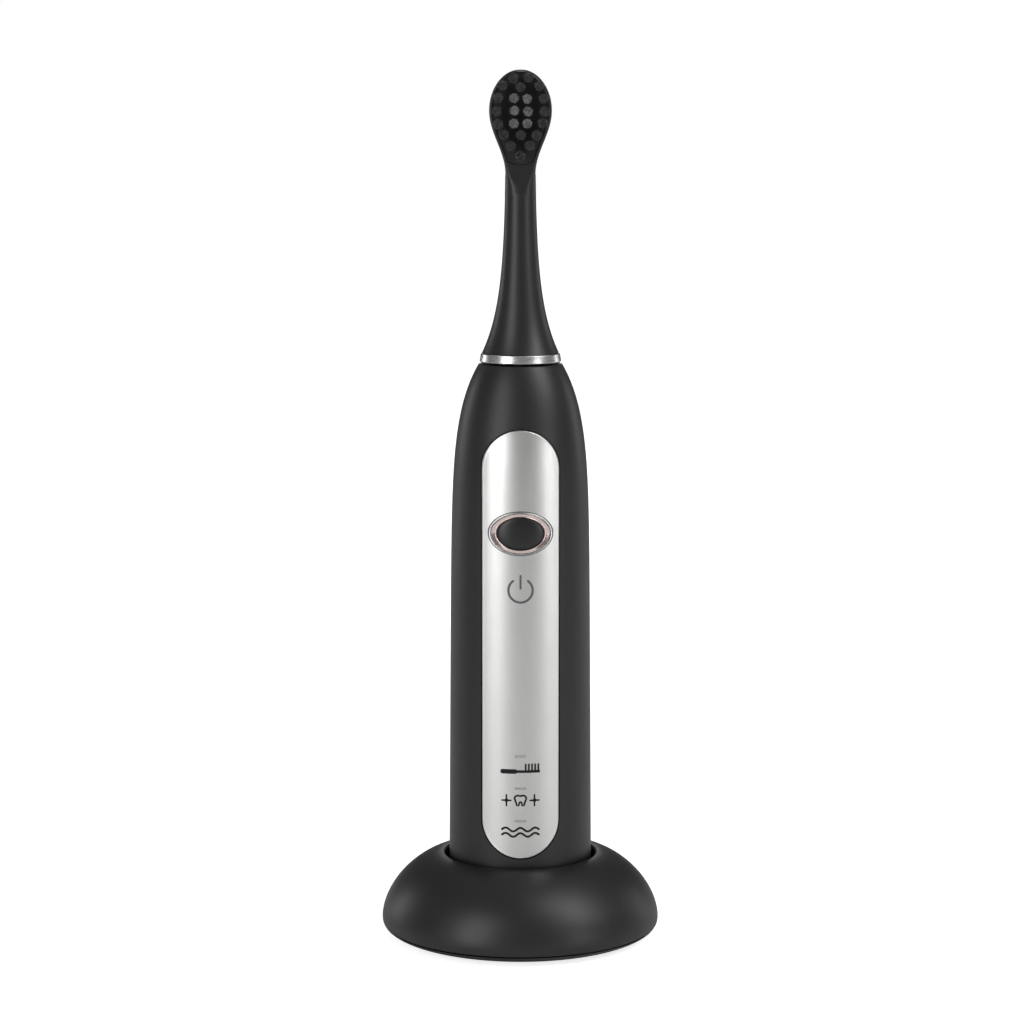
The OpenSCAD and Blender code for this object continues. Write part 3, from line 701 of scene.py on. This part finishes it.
def make_handle_shell():
    """Bullet-shaped shell with the shallow pocket for the control plate."""
    heights = crowded(SHELL_LOW_Z + 0.15, SHELL_TOP_Z - 0.16, 130, 1.7)
    inner = crowded(SHELL_LOW_Z, ROOF_Z, 60, 1.7)
    top_r = handle_radius(SHELL_TOP_Z - 0.16)
    round_over = [(top_r - 0.1, SHELL_TOP_Z - 0.05), (top_r - 0.25, SHELL_TOP_Z)]
    profile = [(handle_radius(SHELL_LOW_Z) - 0.15, SHELL_LOW_Z)]
    profile += [(handle_radius(z), z) for z in heights] + round_over
    profile += [(SEAL_R + 0.25, SHELL_TOP_Z), (SEAL_R, SHELL_TOP_Z - 0.25), (SEAL_R, ROOF_Z)]
    profile += [(handle_radius(z + 0.6 * HANDLE_WALL) - HANDLE_WALL, z) for z in reversed(inner)]
    shell = lathe("handle_shell_skin", profile, 256)
    pocket = stadium_solid("cutter", [(0, 1.5), (1.0, 1.5)], -PLATE_T - 0.05, grow=0.2)
    hole = ellipse_cutter(BUTTON_W + 0.2, BUTTON_H + 0.2)
    slots = [block_cutter((-1.3, -22, z - 0.3), (1.3, -10, z + 0.3)) for z in LIGHT_Z]
    return place(cut(shell, [pocket, hole, *slots]), "handle", "soft_black", "handle_shell")


def make_face_plate():
    """Curved silver plate with a bright bevel all round."""
    front = [(0, -0.3), (0.03, -0.05), (0.08, 0.07), (0.16, 0.13), (0.26, 0.14),
             (0.5, PLATE_PROUD), (0.7, PLATE_PROUD)]
    plate = stadium_solid("face_plate_skin", front, -PLATE_T)
    hole = ellipse_cutter(BEZEL_W + 0.1, BEZEL_H + 0.1)
    slots = [block_cutter((-1.25, -22, z - 0.25), (1.25, -10, z + 0.25)) for z in LIGHT_Z]
    return place(cut(plate, [hole, *slots]), "handle", "brushed_silver", "face_plate")


def make_bezel():
    """Rose ring around the button, in a thin silver ring.

    The rose ring is dished above the button and beside it, and falls away outward below it.
    Each step is (share of the width, lift above the button, lift beside it, lift below it).
    """
    outer_w, outer_h = BEZEL_W - 0.08, BEZEL_H - 0.08
    inner_w, inner_h = BUTTON_W + 0.08, BUTTON_H + 0.08

    def ring_piece(name, steps):
        build = bmesh.new()
        rings = []
        for share, over, beside, under in steps:
            half_w = mix(outer_w, inner_w, share)
            half_h = mix(outer_h, inner_h, share)

            def depth(x, z):
                up = smoothstep(0.5 + (z - BUTTON_Z) / half_h / 2)
                return skin_y(x, z, mix(mix(under, over, up), beside, (x / half_w) ** 2))

            rings.append(ellipse_ring(half_w, half_h, depth, 160))
        add_rings(build, rings, close_ends=True)
        return new_object(name, build, 50)

    even = ((0, -0.6), (0, 0.2), (0.02, 0.28), (0.07, 0.32), (0.15, 0.33), (0.21, 0.3), (0.24, 0.22),
            (0.24, -0.6))
    silver = ring_piece("bezel_silver_ring", [(share, lift, lift, lift) for share, lift in even])
    place(silver, "handle", "ring_chrome")
    rose = ring_piece("bezel_rose_ring", [
        (0.31, -0.6, -0.6, -0.6), (0.31, 0.3, 0.4, 0.18), (0.33, 0.42, 0.6, 0.24),
        (0.37, 0.47, 0.66, 0.27), (0.45, 0.46, 0.6, 0.3), (0.6, 0.43, 0.42, 0.37),
        (0.7, 0.41, 0.32, 0.42), (0.79, 0.38, 0.25, 0.46), (0.84, 0.36, 0.22, 0.48),
        (0.86, 0.4, 0.28, 0.49), (0.89, 0.45, 0.4, 0.49), (0.93, 0.47, 0.44, 0.48),
        (0.97, 0.43, 0.4, 0.43), (1.0, 0.3, 0.3, 0.3), (1.0, -0.6, -0.6, -0.6)])
    return place(rose, "handle", "rose_chrome", "button_bezel")


def make_bottom_cap():
    """Foot of the handle."""
    outer_r = high("bottom_cap").x
    hole_r = high("charging_socket").x + 0.02
    seam_z, floor_z = SHELL_LOW_Z - 0.15, 11
    spigot_r, spigot_in, spigot_z = 14.5, 12.2, 16.2
    groove_r, groove_low_z, groove_top_z = 13.4, 13.3, 14.8
    profile = fillet([
        (hole_r, FOOT_Z), (outer_r, FOOT_Z, 1.3), (outer_r, seam_z, 0.15), (spigot_r, seam_z),
        (spigot_r, groove_low_z, 0.1), (groove_r, groove_low_z), (groove_r, groove_top_z),
        (spigot_r, groove_top_z, 0.1), (spigot_r, spigot_z, 0.3), (spigot_in, spigot_z, 0.2),
        (spigot_in, floor_z), (hole_r, floor_z)], 6)
    return place(lathe("bottom_cap_skin", profile, 192), "handle", "soft_black", "bottom_cap")


def make_charging_socket():
    """Blind tube that goes over the post of the base."""
    outer_r, top_z = high("charging_socket").x, high("charging_socket").z
    inner_r, inner_z = outer_r - 1, top_z - 1.1
    profile = fillet([
        (outer_r, FOOT_Z, 0.05), (outer_r, top_z, 0.6), (0, top_z), (0, inner_z),
        (inner_r, inner_z, 0.5), (inner_r, FOOT_Z, 0.4)], 6)
    return place(lathe("charging_socket_skin", profile, 96), "handle", "soft_black", "charging_socket")


def make_shaft_seal():
    """Soft lip seal in the top of the handle."""
    outer_r, lip_r, flange_r = SEAL_R - 0.03, SHAFT_R + 0.06, 6.4
    profile = fillet([
        (outer_r, ROOF_Z), (outer_r, SHELL_TOP_Z - 0.1, 0.3), (3.3, SHELL_TOP_Z - 0.1, 0.2),
        (2.9, SHELL_TOP_Z - 0.6, 0.2), (2.35, SHELL_TOP_Z - 0.25, 0.15),
        (lip_r, SHELL_TOP_Z - 0.4, 0.1), (lip_r, SHELL_TOP_Z - 1.1), (3.4, SHELL_TOP_Z - 1.2),
        (3.4, ROOF_Z - 1.6), (flange_r, ROOF_Z - 1.6), (flange_r, ROOF_Z - 0.05),
        (outer_r, ROOF_Z - 0.05)])
    return place(lathe("shaft_seal_skin", profile, 96), "handle", "rubber_black", "shaft_seal")


make_handle_shell()
make_face_plate()
make_bezel()
make_bottom_cap()
make_charging_socket()
make_shaft_seal()


# ---------------------------------------------------------------- marks printed on the plate

def add_stroke(build, path, width, closed=False, lift=0.125, depth=0.09):
    """A printed line with round ends, laid on the plate. path is a list of (x, z)."""
    points = [Vector(p) for p in path]
    count = len(points)
    left, right = [], []
    for i, point in enumerate(points):
        ahead = points[(i + 1) % count] if closed or i < count - 1 else point
        back = points[i - 1] if closed or i > 0 else point
        along = (ahead - back).normalized()
        side = Vector((-along.y, along.x)) * width / 2
        left.append(point + side)
        right.append(point - side)
    if not closed:
        for end, step in ((0, -1), (count - 1, 1)):
            along = (points[-1] - points[-2] if step > 0 else points[1] - points[0]).normalized()
            side = Vector((-along.y, along.x))
            for out in (0.5, 0.866):
                tip = points[end] + along * (out * step * width / 2)
                half = side * (width / 2 * math.sqrt(1 - out * out))
                at = len(left) if step > 0 else 0
                left.insert(at, tip + half)
                right.insert(at, tip - half)
    rings = []
    for a, b in zip(left, right):
        corners = ((a, lift), (b, lift), (b, lift - depth), (a, lift - depth))
        rings.append([(p.x, skin_y(p.x, p.y, level), p.y) for p, level in corners])
    rows = add_rings(build, rings, close_ends=closed)
    if not closed:
        build.faces.new(rows[0])
        build.faces.new(rows[-1])


def arc(centre, r, first, last, steps):
    """Points of an arc, with its angles in degrees."""
    angles = [math.radians(mix(first, last, k / steps)) for k in range(steps + 1)]
    return [(centre[0] + r * math.cos(a), centre[1] + r * math.sin(a)) for a in angles]


def line(first, last, steps=6):
    """Points of a straight line."""
    shares = [k / steps for k in range(steps + 1)]
    return [(mix(first[0], last[0], t), mix(first[1], last[1], t)) for t in shares]


def make_power_symbol():
    """A ring that is open at the top, with a bar in the opening."""
    stroke = 0.52
    build = bmesh.new()
    add_stroke(build, arc((0, SYMBOL_Z), SYMBOL_R, 128, 412, 64), stroke)
    add_stroke(build, line((0, SYMBOL_Z + 0.45), (0, SYMBOL_Z + 3.35), 10), stroke * 0.9)
    return place(new_object("power_symbol_print", build), "handle", "symbol_grey", "power_symbol")


def make_brush_mark(z):
    """A small toothbrush lying on its side: handle, neck and a row of bristles."""
    axis_z = z - 0.6
    build = bmesh.new()
    add_stroke(build, line((-MODE_HALF_W, axis_z), (MODE_HALF_W, axis_z), 24), 0.62)
    for k in range(5):
        x = 1.2 + k * 0.72
        add_stroke(build, line((x, z - 0.5), (x, z + 1.05)), 0.42)
    add_stroke(build, line((0.1 - MODE_HALF_W, axis_z), (-1.2, axis_z), 10), 1.05)
    return build


def make_tooth_mark(z):
    """A tooth between two four-pointed sparkles."""
    build = bmesh.new()
    crown = arc((-0.62, z + 0.45), 0.7, 200, 60, 10) + arc((0.62, z + 0.45), 0.7, 120, -20, 10)
    right_root = [(1.0, z - 0.45), (0.82, z - 1.15), (0.42, z - 1.2), (0.24, z - 0.5)]
    left_root = [(-x, root_z) for x, root_z in reversed(right_root)]
    add_stroke(build, crown + right_root + [(0, z - 0.3)] + left_root, 0.42, closed=True)
    for x in (-3.2, 3.2):
        for dx, dz in ((0, 1.25), (1.0, 0)):
            add_stroke(build, line((x - dx, z - dz), (x + dx, z + dz), 8), 0.38)
        add_stroke(build, arc((x, z), 0.26, 0, 345, 16), 0.36, closed=True)
    return build


def make_wave_mark(z):
    """Two soft waves."""
    shares = [k / 56 for k in range(57)]
    build = bmesh.new()
    for rise in (0.62, -0.62):
        wave = [(mix(-MODE_HALF_W, MODE_HALF_W, t), z + rise + 0.42 * math.sin(5 * math.pi * t))
                for t in shares]
        add_stroke(build, wave, 0.48)
    return build


make_power_symbol()
marks = {"mark_brush": make_brush_mark, "mark_tooth": make_tooth_mark, "mark_waves": make_wave_mark}
for (mark_name, draw_mark), mark_z in zip(marks.items(), MODE_Z):
    place(new_object(mark_name, draw_mark(mark_z)), "handle", "symbol_grey", finish=mark_black)


# ---------------------------------------------------------------- button

def make_button():
    """Soft oval button with a low crown. Each step is (share of the size, lift)."""
    crown = 0.5
    steps = [(1.0, -0.5), (1.0, 0.02), (0.992, 0.12), (0.975, 0.2), (0.95, 0.26), (0.9, 0.33),
             (0.8, 0.4), (0.6, 0.46), (0.4, 0.49), (0.2, crown)]
    build = bmesh.new()
    rings = [ellipse_ring(BUTTON_W, BUTTON_H, lambda x, z: BUTTON_BACK_Y, 128)]
    for share, lift in steps:
        rings.append(ellipse_ring(BUTTON_W * share, BUTTON_H * share,
                                  lambda x, z: skin_y(x, z, lift), 128))
    rings.append([(0, skin_y(0, BUTTON_Z, crown), BUTTON_Z)])
    rows = add_rings(build, rings)
    build.faces.new(rows[0])
    return place(new_object("power_button_skin", build), "button", "button_black", "power_button")


make_button()


# ---------------------------------------------------------------- drive shaft

def make_shaft():
    """Steel shaft with a flat along one side of its tip."""
    low_z = low("drive_shaft").z
    collar_r, collar_t = 2.9, 0.8
    corners = [(0, low_z), (SHAFT_R, low_z, 0.2)]
    for collar_z in (88.4, 107.6):
        top_z = collar_z + collar_t
        corners += [(SHAFT_R, collar_z), (collar_r, collar_z, 0.1), (collar_r, top_z, 0.1), (SHAFT_R, top_z)]
    corners += [(SHAFT_R, SHAFT_FLAT_Z), (SHAFT_R, SHAFT_FLAT_Z + 0.02), (SHAFT_R, SHAFT_TOP_Z, 0.4),
                (0, SHAFT_TOP_Z)]
    shaft = lathe("drive_shaft_skin", fillet(corners, closed=False), 96, closed=False)
    for vertex in shaft.data.vertices:
        if vertex.co.z > (SHAFT_FLAT_Z + 0.01) * MM:
            vertex.co.y = max(vertex.co.y, -1.5 * MM)
    shaft.data.set_sharp_from_angle(angle=math.radians(25))
    return place(shaft, "drive", "motor_steel", "drive_shaft")


make_shaft()


# ---------------------------------------------------------------- brush head

def head_ring(z, steps=128):
    """One level of the head: a circle in the stem that turns into a slab with a flat front."""
    in_oval = smoothstep((z - 173.5) / 12.5)
    half_w = stem_radius(z) if z < OUTLINE_LOW_Z else oval_half(z)
    round_r = stem_radius(z)
    halves = {
        "front": (2 / mix(2.0, 5.0, in_oval), mix(round_r, 3.3, in_oval), 0.7),
        "back": (2 / mix(2.0, 2.6, in_oval), mix(round_r, 2.5, in_oval), 1.8),
    }
    above = (z - FLAT_LOW_Z) / 6.0
    flat = mix(3.6, -HEAD_FRONT_Y, smoothstep(above)) if above > 0 else 99.0
    ring = []
    for side, depth in unit_circle(steps):
        power, thickness, top_round = halves["front" if depth > 0 else "back"]
        over = max(0.0, z - (HEAD_TOP_Z - top_round)) / top_round
        x = math.copysign(abs(side) ** power, side) * half_w
        y = abs(depth) ** power * thickness
        if depth > 0:
            y = (y ** -14 + flat ** -14) ** (-1 / 14) if y > 0.01 else y
        y *= math.sqrt(max(0.0, 1 - over * over))
        ring.append((x, -y if depth > 0 else y, z))
    return ring


def circle(r, z, steps=128):
    """One level of the foot of the head, with its points in the same order as head_ring."""
    return [(r * c, -r * s, z) for c, s in unit_circle(steps)]


def add_head_rim(build, inset=0.62, foot_z=179.0):
    """A low bead around the flat face of the oval, just inside its edge."""
    half_h = HEAD_TOP_Z - OVAL_Z - inset
    right = [(oval_half(z) - inset, z) for z in (mix(foot_z, OVAL_Z, k / 40) for k in range(41))]
    right += [((OVAL_HALF_W - inset) * c, OVAL_Z + half_h * s) for c, s in unit_circle(160)[1:41]]
    foot = [(right[0][0] * t, foot_z - 0.7 * (1 - t * t)) for t in (0, 0.2, 0.4, 0.6, 0.8)]
    outline = foot + right
    outline += [(-x, z) for x, z in reversed(outline[1:-1])]
    centre = Vector((0, OVAL_Z - 4))
    section = [(-0.26, 0.25), (-0.16, -0.18), (0, -0.28), (0.16, -0.18), (0.26, 0.25)]
    rings = []
    for x, z in outline:
        inward = (centre - Vector((x, z))).normalized()
        rings.append([(x + inward.x * across, HEAD_FRONT_Y + rise, z + inward.y * across)
                      for across, rise in section])
    add_rings(build, rings, close_ends=True)


def make_head():
    """Stem and oval in one piece, hollow at the foot for the shaft."""
    bore_r, bore_low_z, bore_top_z = 3.2, 139.5, 151.45
    spigot_in, spigot_out, spigot_z = 5.6, 7.2, RING_LOW_Z + 0.1
    shoulder_z = STEM_LOW_Z - 0.05
    spigot = fillet([
        (spigot_in, bore_low_z), (spigot_in, spigot_z, 0.3), (spigot_out, spigot_z, 0.3),
        (spigot_out, shoulder_z), (STEM_R - 0.12, shoulder_z)], 4, closed=False)
    rings = [[(0, 0, bore_top_z)], circle(bore_r, bore_top_z), circle(bore_r, bore_low_z)]
    rings += [circle(r, z) for r, z in spigot]
    levels = [STEM_LOW_Z + 0.08]
    levels += [mix(STEM_LOW_Z + 0.2, FLAT_LOW_Z - 0.2, (k / 44) ** 1.3) for k in range(45)]
    levels += [mix(FLAT_LOW_Z, OVAL_Z, k / 60) for k in range(61)]
    levels += [mix(OVAL_Z, HEAD_TOP_Z, math.sin(math.pi / 2 * k / 46)) for k in range(1, 46)]
    rings += [head_ring(z) for z in levels]
    rings.append([(0, 0, HEAD_TOP_Z)])
    build = bmesh.new()
    add_rings(build, rings)
    add_head_rim(build)
    return place(new_object("head_stem_skin", build, 40), "brush_head", "head_black", "head_stem")


def make_trim_ring():
    """Polished ring at the foot of the brush head."""
    inner_r = 7.25
    profile = fillet([
        (inner_r, RING_LOW_Z + 0.1), (RING_R - 0.25, RING_LOW_Z, 0.08),
        (RING_R, RING_LOW_Z + 0.25, 0.15), (RING_R - 0.28, RING_TOP_Z - 0.15, 0.15),
        (RING_R - 0.45, RING_TOP_Z, 0.06), (inner_r, RING_TOP_Z)], 6)
    return place(lathe("trim_ring_skin", profile, 192), "brush_head", "ring_chrome", "trim_ring")


def add_bristle(build, root, tip, r):
    """One filament from root to tip, a little bowed, with a rounded end."""
    steps = 4
    hexagon = unit_circle(6)
    bow = Vector((root.x - tip.x, 0, root.z - tip.z)) * 0.25
    rings = []
    for i in range(steps + 1):
        t = i / steps
        middle = root.lerp(tip, t) + bow * (t * (1 - t))
        rings.append([(middle.x + r * c, middle.y, middle.z + r * s) for c, s in hexagon])
    rings.append([(tip.x + 0.6 * r * c, tip.y - 0.7 * r, tip.z + 0.6 * r * s) for c, s in hexagon])
    rings.append([(tip.x, tip.y - r, tip.z)])
    rows = add_rings(build, rings)
    build.faces.new(rows[0])


def make_tufts(name, places, tip_y, slot, node, seed, splay, count=100):
    """Bundles of filaments. places is a list of (x, z) for the middle of each tuft."""
    draw = random.Random(seed)
    golden_angle = math.pi * (3 - math.sqrt(5))
    build = bmesh.new()
    for x, z in places:
        lean_x, lean_z = draw.uniform(-0.12, 0.12), draw.uniform(-0.12, 0.12)
        for i in range(count):
            spread = TUFT_ROOT_R * math.sqrt((i + 0.5) / count)
            dx, dz = spread * math.cos(i * golden_angle), spread * math.sin(i * golden_angle)
            root = Vector((x + dx, HEAD_FRONT_Y + 1.0, z + dz))
            end_y = tip_y + draw.uniform(0.0, 0.35) + spread * spread * 0.25
            tip = Vector((x + dx * splay + lean_x + draw.uniform(-0.05, 0.05), end_y,
                          z + dz * splay + lean_z + draw.uniform(-0.05, 0.05)))
            add_bristle(build, root, tip, FILAMENT_R)
    return place(new_object(name, build, 60), "brush_head", slot, node)


side_row = ((4.1, 196), (5.1, 193.3), (5.35, 190.5), (5, 187.7), (3.6, 185.2))
centre_places = [(x, TUFT_Z + row * 2.8) for x in (-1.5, 1.5) for row in (-1, 0, 1)]
side_places = [(side * x, z) for x, z in side_row for side in (-1, 1)]
end_places = [(-1.6, 197.8), (1.6, 197.8), (0, 195.8), (0, 185.3), (-2.1, 182.9), (2.1, 182.9),
              (0, 180.6)]
make_head()
make_trim_ring()
make_tufts("centre_bristles", centre_places, CENTRE_TIP_Y, "bristle_grey", "centre_tufts", 11, 1.45)
make_tufts("side_bristles", side_places, BRISTLE_TIP_Y, "bristle_black", "side_tufts", 23, 1.5)
make_tufts("end_bristles", end_places, BRISTLE_TIP_Y, "bristle_black", "end_tufts", 37, 1.5)


# ---------------------------------------------------------------- pieces kept from the CAD model

slot_of = {entry["node"]: entry["material_slot"] for entry in record["subparts"]}
for node_name, kept in nodes.items():
    kept.data.materials.clear()
    kept.data.materials.append(finishes[slot_of[node_name]])


# ---------------------------------------------------------------- floor, light and background

FLOOR_REACH = 6000
# Glow of the floor to the eye, near the object and far from it
FLOOR_GLOW = (0.78, 1.0)
# Light from the surroundings, in front of the object and behind it
AROUND_STRENGTH = (0.18, 0.1)
LAMPS_AIM = (0, 0, 0.1)
# Name, azimuth (0 in front, positive to the right) and elevation in degrees, distance, size, watts
LAMPS = (
    ("key_left", -40, 14, 0.95, (0.42, 1.0), 4.4),
    ("key_right", 61, 46, 0.95, (0.42, 0.7), 4.4),
    ("low_right", 50, 2, 0.95, (0.3, 0.4), 1.1),
    ("top_soft", 180, 75, 0.9, (1.2, 0.8), 0.6),
    ("side_left", -125, 4, 1.2, (0.3, 0.6), 1.3),
    ("side_right", 125, 4, 1.2, (0.3, 0.6), 0.9),
    ("back_soft", 180, 24, 1.1, (0.3, 0.5), 0.8),
)


def make_floor():
    """Pale matt floor, large enough to reach the horizon."""
    build = bmesh.new()
    corners = [(-FLOOR_REACH, -FLOOR_REACH), (FLOOR_REACH, -FLOOR_REACH),
               (FLOOR_REACH, FLOOR_REACH), (-FLOOR_REACH, FLOOR_REACH)]
    build.faces.new([build.verts.new((x, y, 0)) for x, y in corners])
    floor = new_object("floor", build)
    material, tree, main = shader("pale_floor")
    where = object_coordinates(tree)
    cloud = add_noise(tree, where, 6)
    tree.links.new(add_colours(tree, cloud, (0.9, 0.9, 0.9), (0.93, 0.93, 0.93)), main.inputs["Base Color"])
    distance = tree.nodes.new("ShaderNodeVectorMath")
    distance.operation = "LENGTH"
    tree.links.new(where, distance.inputs[0])
    path = tree.nodes.new("ShaderNodeLightPath")
    glow = tree.nodes.new("ShaderNodeMath")
    glow.operation = "MULTIPLY"
    by_distance = add_range(tree, distance.outputs["Value"], 0.05, 0.6, *FLOOR_GLOW)
    tree.links.new(by_distance, glow.inputs[0])
    tree.links.new(path.outputs["Is Camera Ray"], glow.inputs[1])
    tree.links.new(glow.outputs[0], main.inputs["Emission Strength"])
    main.inputs["Roughness"].default_value = 0.9
    main.inputs["Specular IOR Level"].default_value = 0.1
    main.inputs["Emission Color"].default_value = (1, 1, 1, 1)
    floor.data.materials.append(material)


def add_area(name, azimuth, elevation, distance, size, power):
    """A soft box that shines at the handle."""
    data = bpy.data.lights.new(name, "AREA")
    data.shape = "RECTANGLE"
    data.size, data.size_y = size
    data.energy = power
    lamp = bpy.data.objects.new(name, data)
    a, e = math.radians(azimuth), math.radians(elevation)
    out = Vector((math.sin(a) * math.cos(e), -math.cos(a) * math.cos(e), math.sin(e)))
    lamp.location = Vector(LAMPS_AIM) + out * distance
    lamp.rotation_euler = (-out).to_track_quat("-Z", "Y").to_euler()
    lamp.visible_camera = False
    scene.collection.objects.link(lamp)
    return lamp


def make_world():
    """White surroundings: bright to the eye, much dimmer as a source of light."""
    world = bpy.data.worlds.new("studio")
    scene.world = world
    world.use_nodes = True
    tree = world.node_tree
    tree.nodes.clear()
    output = tree.nodes.new("ShaderNodeOutputWorld")
    blend = tree.nodes.new("ShaderNodeMixShader")
    path = tree.nodes.new("ShaderNodeLightPath")
    surroundings = tree.nodes.new("ShaderNodeBackground")
    seen = tree.nodes.new("ShaderNodeBackground")
    surroundings.inputs["Color"].default_value = (1, 1, 1, 1)
    direction = tree.nodes.new("ShaderNodeTexCoord")
    parts = tree.nodes.new("ShaderNodeSeparateXYZ")
    tree.links.new(direction.outputs["Generated"], parts.inputs[0])
    strength = add_range(tree, parts.outputs["Y"], -0.2, 0.9, *AROUND_STRENGTH)
    tree.links.new(strength, surroundings.inputs["Strength"])
    seen.inputs["Color"].default_value = (1, 1, 1, 1)
    seen.inputs["Strength"].default_value = 1.0
    tree.links.new(path.outputs["Is Camera Ray"], blend.inputs["Fac"])
    tree.links.new(surroundings.outputs[0], blend.inputs[1])
    tree.links.new(seen.outputs[0], blend.inputs[2])
    tree.links.new(blend.outputs[0], output.inputs["Surface"])


make_floor()
make_world()
for lamp_values in LAMPS:
    add_area(*lamp_values)
scene.view_settings.view_transform = "Standard"
